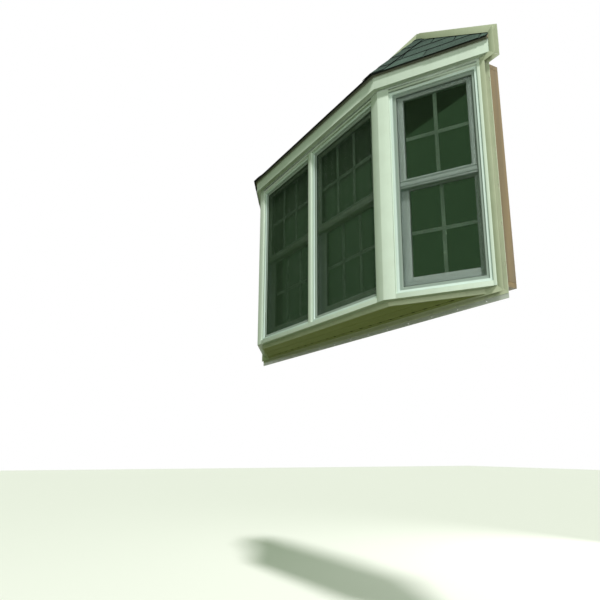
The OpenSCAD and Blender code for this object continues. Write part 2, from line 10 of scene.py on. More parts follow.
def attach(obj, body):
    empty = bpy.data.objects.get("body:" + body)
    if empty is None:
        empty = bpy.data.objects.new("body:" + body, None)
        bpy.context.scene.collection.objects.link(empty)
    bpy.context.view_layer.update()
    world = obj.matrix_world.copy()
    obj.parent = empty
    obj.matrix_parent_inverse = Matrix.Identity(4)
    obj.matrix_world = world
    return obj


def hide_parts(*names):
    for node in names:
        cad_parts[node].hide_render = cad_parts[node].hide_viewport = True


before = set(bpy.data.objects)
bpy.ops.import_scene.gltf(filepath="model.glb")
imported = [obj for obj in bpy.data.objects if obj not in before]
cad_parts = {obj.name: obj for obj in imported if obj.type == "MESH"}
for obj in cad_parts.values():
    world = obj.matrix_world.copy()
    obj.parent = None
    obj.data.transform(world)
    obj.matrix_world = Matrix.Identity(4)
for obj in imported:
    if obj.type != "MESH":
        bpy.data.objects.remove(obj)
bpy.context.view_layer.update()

bl_info = {
    "name": "Bay window",
    "version": (1, 0, 0),
    "blender": (4, 5, 0),
    "location": "View3D > Sidebar > Bay window",
    "description": "Dresses the packed bay window with its finishes and fine pieces",
    "category": "Object",
}

SEAM = 0.0004
WINDOWS = ("left", "front_left", "front_right", "right")
TURNS = {"left": -1, "front_left": 0, "front_right": 0, "right": 1}


# Settings


class BaySizes(bpy.types.PropertyGroup):
    """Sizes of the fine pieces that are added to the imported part."""

    side_angle: bpy.props.FloatProperty(
        name="Side angle", description="Angle between a side window and the front",
        default=math.radians(30), subtype="ANGLE")
    edge: bpy.props.FloatProperty(
        name="Eased edge", description="Radius of the eased edges of trims and sashes",
        default=0.0012, unit="LENGTH")
    lumber_edge: bpy.props.FloatProperty(
        name="Lumber edge", description="Radius of the edges of framing lumber",
        default=0.003, unit="LENGTH")
    bar_width: bpy.props.FloatProperty(
        name="Window bar width", description="Width of the bars inside the sealed glass",
        default=0.0205, unit="LENGTH")
    bar_thickness: bpy.props.FloatProperty(
        name="Window bar thickness", description="Thickness of the bars inside the sealed glass",
        default=0.005, unit="LENGTH")
    wire_pitch: bpy.props.FloatProperty(
        name="Screen pitch", description="Distance between the wires of the insect screens",
        default=0.0016, unit="LENGTH")
    wire_thickness: bpy.props.FloatProperty(
        name="Screen wire", description="Thickness of a wire of the insect screens",
        default=0.00036, unit="LENGTH")
    weave_depth: bpy.props.FloatProperty(
        name="Screen weave", description="Depth that the upright wires of a screen weave through",
        default=0.00056, unit="LENGTH")
    exposure: bpy.props.FloatProperty(
        name="Shingle exposure", description="Length of a shingle course that shows",
        default=0.127, unit="LENGTH")
    tab_width: bpy.props.FloatProperty(
        name="Shingle tab width", description="Width of one tab of a shingle",
        default=0.305, unit="LENGTH")
    tab_gap: bpy.props.FloatProperty(
        name="Shingle slot", description="Width of the slot between two tabs",
        default=0.009, unit="LENGTH")
    shingle_reach: bpy.props.FloatProperty(
        name="Shingle reach", description="Length of shingle past the deck, down the slope",
        default=0.0171, unit="LENGTH")
    shingle_thickness: bpy.props.FloatProperty(
        name="Shingle thickness", description="Height of a tab's lower edge over the deck",
        default=0.006, unit="LENGTH")
    cap_width: bpy.props.FloatProperty(
        name="Hip cap width", description="Width of a hip cap on each side of its hip",
        default=0.076, unit="LENGTH")
    vent_length: bpy.props.FloatProperty(
        name="Vent length", description="Length of a slot in the underside",
        default=0.033, unit="LENGTH")
    vent_width: bpy.props.FloatProperty(
        name="Vent width", description="Width of a slot in the underside",
        default=0.012, unit="LENGTH")
    vent_pitch: bpy.props.FloatProperty(
        name="Vent spacing", description="Spacing of the slots in the underside",
        default=0.102, unit="LENGTH")
    joint: bpy.props.FloatProperty(
        name="Sealed joint", description="Width of the joint between a frame and the trim",
        default=0.004, unit="LENGTH")


class BayColours(bpy.types.PropertyGroup):
    """Base colours of the finishes."""

    trim: bpy.props.FloatVectorProperty(
        name="Trim", description="Coated metal of the covers, bands and fascia",
        default=(0.60, 0.69, 0.61), size=3, subtype="COLOR")
    vinyl: bpy.props.FloatVectorProperty(
        name="Window vinyl", description="Frames and sashes",
        default=(0.62, 0.73, 0.70), size=3, subtype="COLOR")
    bar: bpy.props.FloatVectorProperty(
        name="Window bars", description="Bars inside the sealed glass",
        default=(0.38, 0.45, 0.38), size=3, subtype="COLOR")
    sage: bpy.props.FloatVectorProperty(
        name="Sage vinyl", description="Siding channels and the skirt under the sill trim",
        default=(0.57, 0.61, 0.46), size=3, subtype="COLOR")
    # Painted shade: written darker and more olive than the sage vinyl, for the shade under the
    # seat
    soffit: bpy.props.FloatVectorProperty(
        name="Soffit vinyl", description="Vented panels under the seat",
        default=(0.35, 0.39, 0.18), size=3, subtype="COLOR")
    screen: bpy.props.FloatVectorProperty(
        name="Screen cloth", description="Wires of the insect screens",
        default=(0.024, 0.044, 0.023), size=3, subtype="COLOR")
    screen_frame: bpy.props.FloatVectorProperty(
        name="Screen frame", description="Painted frames of the insect screens",
        default=(0.27, 0.33, 0.30), size=3, subtype="COLOR")
    outer_glass: bpy.props.FloatVectorProperty(
        name="Outer glass", description="Tint of the outer panes",
        default=(0.60, 0.68, 0.60), size=3, subtype="COLOR")
    # Painted shade: the inner panes are tinted almost black to stand for the dark room behind the
    # glass
    inner_glass_painted_shade: bpy.props.FloatVectorProperty(
        name="Inner glass", description="Tint of the inner panes",
        default=(0.043, 0.084, 0.041), size=3, subtype="COLOR")
    shingle: bpy.props.FloatVectorProperty(
        name="Shingles", description="Mineral granules of the roof",
        default=(0.058, 0.090, 0.076), size=3, subtype="COLOR")
    board: bpy.props.FloatVectorProperty(
        name="Boards", description="Lacquered seat, head, jambs and posts",
        default=(0.270, 0.190, 0.085), size=3, subtype="COLOR")
    lumber: bpy.props.FloatVectorProperty(
        name="Lumber", description="Rough framing lumber",
        default=(0.38, 0.31, 0.20), size=3, subtype="COLOR")


def sizes():
    return bpy.context.scene.bay_sizes


def colours():
    return bpy.context.scene.bay_colours


# Node helpers


class Graph:
    """Short calls for building a node tree."""

    def __init__(self, tree):
        self.tree = tree

    def add(self, kind, inputs=None, **settings):
        node = self.tree.nodes.new(kind)
        for name, value in settings.items():
            setattr(node, name, value)
        for key, value in (inputs or {}).items():
            self.feed(node.inputs[key], value)
        return node

    def feed(self, socket, value):
        if isinstance(value, bpy.types.NodeSocket):
            self.tree.links.new(value, socket)
        else:
            socket.default_value = value

    def fill(self, node, values):
        """Feeds the inputs that keywords name, with _ where the name has a space."""
        for label, value in values.items():
            self.feed(node.inputs[label.replace("_", " ")], value)

    def math(self, operation, first, second=0.0, clamp=False):
        node = self.add("ShaderNodeMath", {0: first, 1: second}, operation=operation)
        node.use_clamp = clamp
        return node.outputs[0]

    def mix(self, factor, first, second, blend="MIX"):
        node = self.add("ShaderNodeMix", {0: factor, 6: first, 7: second},
                        data_type="RGBA", blend_type=blend)
        return node.outputs[2]

    def spread(self, value, low, high, to_low=0.0, to_high=1.0):
        node = self.add("ShaderNodeMapRange", {
            "Value": value, "From Min": low, "From Max": high,
            "To Min": to_low, "To Max": to_high})
        return node.outputs[0]

    def place(self, scale=(1, 1, 1)):
        coordinates = self.add("ShaderNodeTexCoord").outputs["Object"]
        return self.add("ShaderNodeMapping", {"Vector": coordinates, "Scale": scale}).outputs[0]

    def noise(self, vector, scale, detail=3.0, roughness=0.5):
        node = self.add("ShaderNodeTexNoise", {
            "Vector": vector, "Scale": scale, "Detail": detail, "Roughness": roughness})
        return node.outputs["Fac"]

    def seen(self):
        """1 for what shows, straight, mirrored or through glass, and 0 for light cast."""
        path = self.add("ShaderNodeLightPath").outputs
        seen = self.math("MAXIMUM", path["Is Camera Ray"], path["Is Glossy Ray"])
        return self.math("MAXIMUM", seen, path["Is Transmission Ray"])

    def vector(self, x=0.0, y=0.0, z=0.0):
        return self.add("ShaderNodeCombineXYZ", {0: x, 1: y, 2: z}).outputs[0]

    def line(self, count, step, start=(0, 0, 0)):
        return self.add("GeometryNodeMeshLine", {
            "Count": count, "Offset": step, "Start Location": start}, mode="OFFSET").outputs[0]

    def shape(self, source):
        return self.add("GeometryNodeObjectInfo", {"Object": source}).outputs["Geometry"]

    def copies(self, points, instance, **inputs):
        return self.add("GeometryNodeInstanceOnPoints", {
            "Points": points, "Instance": instance, **inputs}).outputs[0]


def shader_group(name, inputs, outputs):
    """An empty shader group: its Graph, what it is given and what it gives."""
    tree = bpy.data.node_groups.new(name, "ShaderNodeTree")
    kinds = {"color": "NodeSocketColor", "float": "NodeSocketFloat", "vector": "NodeSocketVector"}
    for label, kind, value in inputs:
        socket = tree.interface.new_socket(label, in_out="INPUT", socket_type=kinds[kind])
        socket.default_value = value
    for label, kind in outputs:
        tree.interface.new_socket(label, in_out="OUTPUT", socket_type=kinds[kind])
    graph = Graph(tree)
    return graph, graph.add("NodeGroupInput").outputs, graph.add("NodeGroupOutput").inputs


def rgba(colour):
    return (*colour, 1.0)


# Shared surface effects


def weather_group():
    """Soiling that gathers on top faces and in patches, with a change of gloss."""
    g, given, result = shader_group(
        "Weather",
        [("Color", "color", (0.8, 0.8, 0.8, 1)), ("Dirt", "color", (0.2, 0.2, 0.14, 1)),
         ("Amount", "float", 0.3), ("Roughness", "float", 0.4)],
        [("Color", "color"), ("Roughness", "float")])
    vector = g.place()
    patches = g.spread(g.noise(vector, 9.0, 6.0, 0.65), 0.45, 0.75)
    streaks = g.spread(g.noise(g.place((1, 1, 0.06)), 55.0, 3.0, 0.6), 0.5, 0.8)
    normal = g.add("ShaderNodeSeparateXYZ", {0: g.add("ShaderNodeNewGeometry").outputs["Normal"]})
    top = g.spread(normal.outputs[2], 0.5, 1.0)
    spots = g.math("ADD", g.math("MULTIPLY", patches, 0.5), g.math("MULTIPLY", streaks, 0.35))
    soil = g.math("ADD", spots, top, True)
    factor = g.math("MULTIPLY", soil, given["Amount"], True)
    g.feed(result["Color"], g.mix(factor, given["Color"], given["Dirt"]))
    rough = g.math("ADD", given["Roughness"], g.math("MULTIPLY", factor, 0.5), True)
    g.feed(result["Roughness"], rough)
    return g.tree


def grain_group():
    """Wood grain that runs along a stretched axis."""
    g, given, result = shader_group(
        "Wood grain",
        [("Vector", "vector", (0, 0, 0)), ("Light", "color", (0.6, 0.4, 0.2, 1)),
         ("Dark", "color", (0.3, 0.17, 0.07, 1)), ("Rings", "float", 26.0)],
        [("Color", "color"), ("Height", "float")])
    vector = given["Vector"]
    bend = g.noise(vector, 2.2, 3.0)
    rings = g.math("FRACT", g.math("MULTIPLY", bend, given["Rings"]))
    band = g.spread(g.math("ABSOLUTE", g.math("SUBTRACT", rings, 0.5)), 0.5, 0.05)
    fibre = g.noise(vector, 95.0, 4.0, 0.7)
    shade = g.math("ADD", g.math("MULTIPLY", band, 0.55), g.math("MULTIPLY", fibre, 0.5), True)
    g.feed(result["Color"], g.mix(shade, given["Light"], given["Dark"]))
    g.feed(result["Height"], g.math("SUBTRACT", 1.0, shade))
    return g.tree


def granule_group():
    """Mineral granules: small cells of mixed shades with their height."""
    g, given, result = shader_group(
        "Granules",
        [("Color", "color", (0.2, 0.24, 0.23, 1)), ("Cells", "float", 620.0),
         ("Contrast", "float", 0.6)],
        [("Color", "color"), ("Height", "float")])
    vector = g.place()
    cells = g.add("ShaderNodeTexVoronoi", {"Vector": vector, "Scale": given["Cells"]})
    tone = g.add("ShaderNodeSeparateColor", {0: cells.outputs["Color"]}).outputs[0]
    low = g.math("SUBTRACT", 1.0, given["Contrast"])
    high = g.math("ADD", 1.0, given["Contrast"])
    gain = g.spread(tone, 0.0, 1.0, low, high)
    blotch = g.spread(g.noise(vector, 14.0, 4.0, 0.6), 0.3, 0.7, 0.82, 1.16)
    level = g.math("MULTIPLY", gain, blotch)
    grey = g.add("ShaderNodeCombineColor", {0: level, 1: level, 2: level}).outputs[0]
    g.feed(result["Color"], g.mix(1.0, given["Color"], grey, "MULTIPLY"))
    g.feed(result["Height"], g.math("SUBTRACT", 1.0, cells.outputs["Distance"]))
    return g.tree


GROUPS = {}


def group(name):
    """The shared group of that name, built the first time it is asked for."""
    makers = {"Weather": weather_group, "Wood grain": grain_group, "Granules": granule_group}
    if name not in GROUPS:
        GROUPS[name] = makers[name]()
    return GROUPS[name]


# Materials


BARE_ASPHALT = (0.006, 0.008, 0.007, 1)
# Painted shade: the band just under each next course's lower edge, partly a printed shadow band
# of the granules
PAINTED_COURSE_SHADE = (0.012, 0.016, 0.014, 1)
# Painted shade: the colour of the hollow behind the soffit's slots
PAINTED_HOLLOW_SHADE = (0.006, 0.008, 0.004, 1)
HOLLOW_Y = (-0.090, -0.080)
HOLLOW_Z = (-0.0224, -0.0220)
TAB_SHADES = (0.75, 1.25)


class Surface:
    """A material under construction, with its Graph and its Principled shader."""

    def __init__(self, name, **constants):
        self.material = bpy.data.materials.new(name)
        self.material.use_nodes = True
        self.graph = Graph(self.material.node_tree)
        self.shader = self.material.node_tree.nodes["Principled BSDF"]
        self.graph.fill(self.shader, constants)

    def use(self, name, **inputs):
        node = self.graph.add("ShaderNodeGroup", node_tree=group(name))
        self.graph.fill(node, inputs)
        return node.outputs

    def feed(self, **inputs):
        self.graph.fill(self.shader, inputs)

    def bump(self, height, strength, distance):
        node = self.graph.add("ShaderNodeBump", {
            "Height": height, "Strength": strength, "Distance": distance})
        self.feed(Normal=node.outputs[0])


def coated(name, colour, roughness, dirt, ripple, gloss=0.12):
    """Coated sheet metal or vinyl, a little soiled, with a faint ripple in the sheet."""
    surface = Surface(name, Specular_IOR_Level=gloss)
    out = surface.use("Weather", Color=rgba(colour), Amount=dirt, Roughness=roughness)
    surface.feed(Base_Color=out["Color"], Roughness=out["Roughness"])
    g = surface.graph
    waves = g.noise(g.place(), 6.0, 2.0)
    orange_peel = g.noise(g.place(), 900.0, 2.0)
    height = g.math("ADD", g.math("MULTIPLY", waves, ripple),
                    g.math("MULTIPLY", orange_peel, 0.02))
    surface.bump(height, 0.5, 0.004)
    return surface.material


def glass(name, colour):
    surface = Surface(name, Base_Color=rgba(colour), Roughness=0.0, IOR=1.12,
                      Specular_IOR_Level=0.1, Specular_Tint=(0.6, 1.0, 0.6, 1.0),
                      Transmission_Weight=1.0)
    g = surface.graph
    dust = g.spread(g.noise(g.place((1, 1, 0.35)), 24.0, 6.0, 0.7), 0.5, 0.85, 0.0, 0.06)
    surface.feed(Roughness=dust)
    return surface.material


def wood(name, colour, dark, axis, coat, rough):
    """Wood with its grain along an axis: 0 for X, 1 for Y, 2 for Z."""
    surface = Surface(name, Coat_Roughness=0.15)
    stretch = [1.0, 1.0, 1.0]
    stretch[axis] = 0.05
    vector = surface.graph.place(stretch)
    out = surface.use("Wood grain", Vector=vector, Light=rgba(colour),
                      Dark=rgba([c * dark for c in colour]))
    surface.feed(Base_Color=out["Color"], Roughness=rough, Coat_Weight=coat)
    surface.bump(out["Height"], 0.3, 0.0006)
    return surface.material


def metal(name, colour, roughness, metallic):
    surface = Surface(name, Metallic=metallic)
    out = surface.use("Weather", Color=rgba(colour), Amount=0.3, Roughness=roughness)
    surface.feed(Base_Color=out["Color"], Roughness=out["Roughness"])
    return surface.material


def shingle_material():
    """Granules with a shade of their own on each tab, and bare asphalt on its edges.

    The attribute "reach" rises from 0 along a tab's lower edge to 1 under the next course. It
    is -1 on the tab's edges and underside.
    """
    surface = Surface("Shingle granules", Roughness=0.92, Specular_IOR_Level=0.15)
    g = surface.graph
    tone = g.add("ShaderNodeAttribute", attribute_name="tone").outputs["Fac"]
    reach = g.add("ShaderNodeAttribute", attribute_name="reach").outputs["Fac"]
    base = g.mix(tone, *[rgba([c * shade for c in colours().shingle]) for shade in TAB_SHADES])
    out = surface.use("Granules", Color=base)
    # Painted shade under the next course, partly a printed shadow band: the granules darken as
    # reach nears 1
    shade = g.spread(reach, 0.72, 0.98, 0.0, 0.6)
    face = g.mix(shade, out["Color"], PAINTED_COURSE_SHADE)
    edge = g.math("LESS_THAN", reach, -0.04)
    surface.feed(Base_Color=g.mix(edge, face, BARE_ASPHALT))
    surface.bump(out["Height"], 0.7, 0.0012)
    return surface.material


def vented_material():
    """The soffit's vinyl, with painted shade in the hollow behind its row of slots."""
    name = "Vented vinyl"
    # The soffit colour holds painted shade under the seat
    made = coated(name, colours().soffit, 0.7, 0.25, 0.35, 0.05)
    g = Graph(made.node_tree)
    shader = made.node_tree.nodes["Principled BSDF"]
    outside = shader.inputs["Base Color"].links[0].from_socket
    place = g.add("ShaderNodeSeparateXYZ", {0: g.place()}).outputs
    # Painted shade: the hollow behind the slots, between HOLLOW_Y and HOLLOW_Z, gets a dark
    # colour
    inside = g.math("MULTIPLY", g.spread(place[1], *HOLLOW_Y), g.spread(place[2], *HOLLOW_Z))
    g.feed(shader.inputs["Base Color"], g.mix(inside, outside, PAINTED_HOLLOW_SHADE))
    return made


def plain(name, colour, roughness, **constants):
    """A small moulded or extruded piece with a fine grain in its gloss."""
    surface = Surface(name, Base_Color=rgba(colour), **constants)
    g = surface.graph
    surface.feed(Roughness=g.spread(g.noise(g.place(), 140.0, 3.0), 0.3, 0.7,
                                    roughness * 0.85, min(roughness * 1.15, 1.0)))
    return surface.material


def material(name):
    """The finish of that name, built the first time it is asked for."""
    found = bpy.data.materials.get(name)
    if found:
        return found
    c = colours()
    makers = {
        "Trim metal": lambda: coated(name, c.trim, 0.38, 0.16, 0.5),
        "Window vinyl": lambda: coated(name, c.vinyl, 0.42, 0.14, 0.1),
        "Sage vinyl": lambda: coated(name, c.sage, 0.7, 0.25, 0.35, 0.05),
        "Vented vinyl": vented_material,
        "Outer glass": lambda: glass(name, c.outer_glass),
        # Painted shade: the near-black inner tint stands for the dark room behind
        "Inner glass": lambda: glass(name, c.inner_glass_painted_shade),
        "Screen frame": lambda: coated(name, c.screen_frame, 0.45, 0.2, 0.1),
        "Bar vinyl": lambda: coated(name, c.bar, 0.42, 0.1, 0.1),
        "Sealant": lambda: plain(name, c.trim, 0.55),
        "Screen wire": lambda: plain(name, c.screen, 0.8, Specular_IOR_Level=0.0),
        "Screen spline": lambda: plain(name, [v * 0.6 for v in c.screen_frame], 0.8),
        "Spacer": lambda: plain(name, (0.45, 0.46, 0.46), 0.35, Metallic=0.9),
        "Board along X": lambda: wood(name, c.board, 0.55, 0, 0.15, 0.42),
        "Board along Z": lambda: wood(name, c.board, 0.55, 2, 0.15, 0.42),
        "Lumber along X": lambda: wood(name, c.lumber, 0.6, 0, 0.0, 0.85),
        "Lumber along Y": lambda: wood(name, c.lumber, 0.6, 1, 0.0, 0.85),
        "Deck board": lambda: wood(name, [v * 0.85 for v in c.lumber], 0.6, 0, 0.0, 0.85),
        "Galvanised sheet": lambda: metal(name, (0.44, 0.47, 0.42), 0.6, 0.4),
        # Painted shade: the drip edge is darkened to stand for the shade under the shingles' edge
        "Drip metal": lambda: coated(name, [v * 0.18 for v in c.sage], 0.6, 0.1, 0.2, 0.05),
        "Lock enamel": lambda: plain(name, (0.62, 0.62, 0.58), 0.3),
        "Shingle granules": shingle_material,
    }
    return makers[name]()


# Mesh helpers


def linked(name, data):
    """A new object in the scene."""
    made = bpy.data.objects.new(name, data)
    bpy.context.scene.collection.objects.link(made)
    return made


def add_piece(name, mesh, materials, body="root"):
    """Links a finished mesh as a piece that rides on its body."""
    piece = linked(name, mesh)
    if len(materials) == 1:
        mesh.materials.clear()
    for label in materials:
        mesh.materials.append(material(label))
    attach(piece, body)
    return piece


def plain_mesh(bm, name):
    mesh = bpy.data.meshes.new(name)
    bm.to_mesh(mesh)
    bm.free()
    return mesh


def evaluated(obj, name):
    """The object's mesh with its modifiers applied. The object is removed."""
    bpy.context.view_layer.update()
    depsgraph = bpy.context.evaluated_depsgraph_get()
    mesh = bpy.data.meshes.new_from_object(obj.evaluated_get(depsgraph))
    mesh.name = name
    bpy.data.objects.remove(obj)
    return mesh


def clean_copy(node):
    """A bmesh copy of a CAD node with its triangles merged into whole faces."""
    bm = bmesh.new()
    bm.from_mesh(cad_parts[node].data)
    bmesh.ops.remove_doubles(bm, verts=bm.verts, dist=1e-5)
    bmesh.ops.dissolve_limit(bm, angle_limit=math.radians(0.5), verts=bm.verts, edges=bm.edges)
    return bm


def eased(mesh, width):
    """The mesh with its sharp edges rounded."""
    holder = linked("holder", mesh)
    for face in mesh.polygons:
        face.use_smooth = True
    bevel = holder.modifiers.new("Eased", "BEVEL")
    bevel.width = width
    bevel.segments = 2
    bevel.limit_method = "ANGLE"
    bevel.angle_limit = math.radians(25)
    bevel.harden_normals = True
    return evaluated(holder, mesh.name)


def slotted(mesh, finish, cutter, first, step, count):
    """The mesh with a row of slots cut into it."""
    return grown(tree("slots"), mesh.name, mesh, Cutter=template(cutter), First=first,
                 Step=step, Count=count, Material=material(finish))


def fine_edge():
    """Radius of the edges of extruded vinyl and of screen frames."""
    return sizes().edge * 0.6


def dress(node, finish, width, rows=()):
    """Stands an eased copy of a CAD node in its place, with its finish and rows of slots."""
    mesh = eased(plain_mesh(clean_copy(node), node), width)
    for row in rows:
        mesh = slotted(mesh, finish, *row)
    piece = add_piece(node + "_finish", mesh, [finish])
    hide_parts(node)


def turned(window):
    """Rotation from a window's own axes to the part's."""
    return Matrix.Rotation(TURNS[window] * sizes().side_angle, 4, "Z")


def solids(node, turn):
    """Boxes of the separate solids of a node, measured in turned axes."""
    bm = clean_copy(node)
    bm.transform(turn.inverted())
    found, seen = [], set()
    for first in bm.verts:
        if first in seen:
            continue
        places, queue = [], [first]
        seen.add(first)
        while queue:
            vert = queue.pop()
            places.append(vert.co.copy())
            for edge in vert.link_edges:
                other = edge.other_vert(vert)
                if other not in seen:
                    seen.add(other)
                    queue.append(other)
        found.append(tuple(Vector([pick(co[i] for co in places) for i in range(3)])
                           for pick in (min, max)))
    bm.free()
    return found


def bridge(bm, first, second):
    """Adds and returns the faces between two closed rings with the same number of verts."""
    corners = zip(first, first[1:] + first[:1], second[1:] + second[:1], second)
    return [bm.faces.new(four) for four in corners]


def add_box(bm, low, high, index=0):
    """Adds a closed box between two corners."""
    size, middle = high - low, (high + low) / 2
    for vert in bmesh.ops.create_cube(bm, size=1.0)["verts"]:
        vert.co = Vector([vert.co[i] * size[i] + middle[i] for i in range(3)])
        for face in vert.link_faces:
            face.material_index = index


def add_ring(bm, low, high, width):
    """Adds a rectangular ring that lies in the X and Z plane."""
    inset = Vector((width, 0, width))
    rings = []
    for a, b in ((low, high), (low + inset, high - inset)):
        corners = ((a.x, a.z), (b.x, a.z), (b.x, b.z), (a.x, b.z))
        rings += [[bm.verts.new((x, y, z)) for x, z in corners] for y in (low.y, high.y)]
    outer_front, outer_back, inner_front, inner_back = rings
    for i in range(4):
        j = (i + 1) % 4
        bm.faces.new((outer_front[i], outer_front[j], inner_front[j], inner_front[i]))
        bm.faces.new((outer_back[j], outer_back[i], inner_back[i], inner_back[j]))
        bm.faces.new((outer_front[j], outer_front[i], outer_back[i], outer_back[j]))
        bm.faces.new((inner_front[i], inner_front[j], inner_back[j], inner_back[i]))


def mark_reach(bm, faces, tops, measure):
    """Writes the attribute "reach": the measure of each corner of a top, and -1 elsewhere."""
    layer = bm.loops.layers.float["reach"]
    for face in faces:
        for loop in face.loops:
            loop[layer] = measure(loop.vert.co) if face in tops else -1.0


def clipped(mesh, planes):
    """The closed mesh cut by planes, each a point and a normal toward what is cut away."""
    bm = bmesh.new()
    bm.from_mesh(mesh)
    bpy.data.meshes.remove(mesh)
    for point, normal in planes:
        everything = bm.verts[:] + bm.edges[:] + bm.faces[:]
        bmesh.ops.bisect_plane(bm, geom=everything, plane_co=point, plane_no=normal,
                               clear_outer=True)
        bmesh.ops.holes_fill(bm, edges=[edge for edge in bm.edges if edge.is_boundary], sides=0)
    return plain_mesh(bm, "clipped")


def template(mesh):
    """An unlinked object that lends its mesh to a geometry tree."""
    return bpy.data.objects.new(mesh.name, mesh)


def oblong(length, width, height, segments=6):
    """A bar with round ends, lying along X and centred."""
    radius, reach = width / 2, (length - width) / 2
    bm = bmesh.new()
    ring = []
    for side in (1, -1):
        for i in range(segments + 1):
            angle = math.pi * i / segments - math.pi / 2
            ring.append(bm.verts.new((side * (reach + radius * math.cos(angle)),
                                      side * radius * math.sin(angle), -height / 2)))
    face = bm.faces.new(ring)
    made = bmesh.ops.extrude_face_region(bm, geom=[face])["geom"]
    bmesh.ops.translate(bm, vec=(0, 0, height),
                        verts=[item for item in made if isinstance(item, bmesh.types.BMVert)])
    bmesh.ops.recalc_face_normals(bm, faces=bm.faces)
    return plain_mesh(bm, "oblong")


def joined(name, meshes):
    """One mesh from several, each a pair of a mesh and its transform."""
    bm = bmesh.new()
    for mesh, matrix in meshes:
        start = len(bm.verts)
        bm.from_mesh(mesh)
        bm.verts.ensure_lookup_table()
        bmesh.ops.transform(bm, matrix=matrix, verts=bm.verts[start:])
        bpy.data.meshes.remove(mesh)
    return plain_mesh(bm, name)


# Geometry node trees


def geometry_tree(name, **sockets):
    """A geometry tree with named inputs: its Graph, what it is given and what it gives."""
    tree = bpy.data.node_groups.new(name, "GeometryNodeTree")
    for label, kind in {"Geometry": "Geometry", **sockets, "Material": "Material"}.items():
        tree.interface.new_socket(label, in_out="INPUT", socket_type="NodeSocket" + kind)
    tree.interface.new_socket("Geometry", in_out="OUTPUT", socket_type="NodeSocketGeometry")
    graph = Graph(tree)
    return graph, graph.add("NodeGroupInput").outputs, graph.add("NodeGroupOutput").inputs


def ended(graph, given, result, geometry):
    """Finishes a tree: its instances are made real and get the material that it is given."""
    real = graph.add("GeometryNodeRealizeInstances", {0: geometry}).outputs[0]
    done = graph.add("GeometryNodeSetMaterial", {"Geometry": real, "Material": given["Material"]})
    graph.feed(result[0], done.outputs[0])
    return graph.tree


def grown(tree, name, base=None, **values):
    """Runs a geometry tree on a mesh, or on nothing, and returns the plain result."""
    mesh = base or bpy.data.meshes.new(name)
    holder = linked(name, mesh)
    modifier = holder.modifiers.new("Made", "NODES")
    modifier.node_group = tree
    labels = {item.name: item.identifier for item in tree.interface.items_tree
              if item.item_type == "SOCKET" and item.in_out == "INPUT"}
    for label, value in values.items():
        modifier[labels[label.replace("_", " ")]] = value
    return evaluated(holder, name)


def row_tree():
    """A row of upright rods or bars: a count, a step along X, and each one's size."""
    g, given, result = geometry_tree("Row of bars", Count="Int", Step="Float", Size="Vector")
    line = g.line(given["Count"], g.vector(given["Step"]))
    bar = g.add("GeometryNodeMeshCube", {"Size": given["Size"]})
    return ended(g, given, result, g.copies(line, bar.outputs[0]))


def wire_tree():
    """A sheet of parallel wires with four sides and open ends, about one pitch apart."""
    g, given, result = geometry_tree("Wires", Span="Float", Length="Float", Pitch="Float",
                                     Thickness="Float", Depth="Float")
    count = g.math("FLOOR", g.math("DIVIDE", given["Span"], given["Pitch"]))
    step = g.vector(g.math("DIVIDE", given["Span"], g.math("ADD", count, 1.0)))
    wire = g.add("GeometryNodeMeshCylinder", {
        "Vertices": 4, "Radius": g.math("MULTIPLY", given["Thickness"], 0.5),
        "Depth": given["Length"]}, fill_type="NONE")
    deeper = g.math("DIVIDE", given["Depth"], given["Thickness"])
    wires = g.copies(g.line(count, step, step), wire.outputs["Mesh"],
                     Scale=g.vector(1.0, deeper, 1.0))
    return ended(g, given, result, wires)


def chain_tree():
    """Copies of one object along a line, such as the caps on a hip."""
    g, given, result = geometry_tree("Chain of copies", Piece="Object", Count="Int",
                                     Step="Vector")
    line = g.line(given["Count"], given["Step"])
    return ended(g, given, result, g.copies(line, g.shape(given["Piece"])))


def slot_tree():
    """Cuts a row of slots through the piece that it is given."""
    g, given, result = geometry_tree("Slotted", Cutter="Object", First="Vector",
                                     Step="Vector", Count="Int")
    line = g.line(given["Count"], given["Step"], given["First"])
    cutters = g.add("GeometryNodeRealizeInstances", {
        0: g.copies(line, g.shape(given["Cutter"]))}).outputs[0]
    cut = g.add("GeometryNodeMeshBoolean", {0: given["Geometry"], 1: cutters},
                operation="DIFFERENCE", solver="EXACT")
    return ended(g, given, result, cut.outputs[0])


def random_value(graph, low, high, seed):
    node = graph.add("FunctionNodeRandomValue", {2: low, 3: high, 8: seed}, data_type="FLOAT")
    return node.outputs[1]


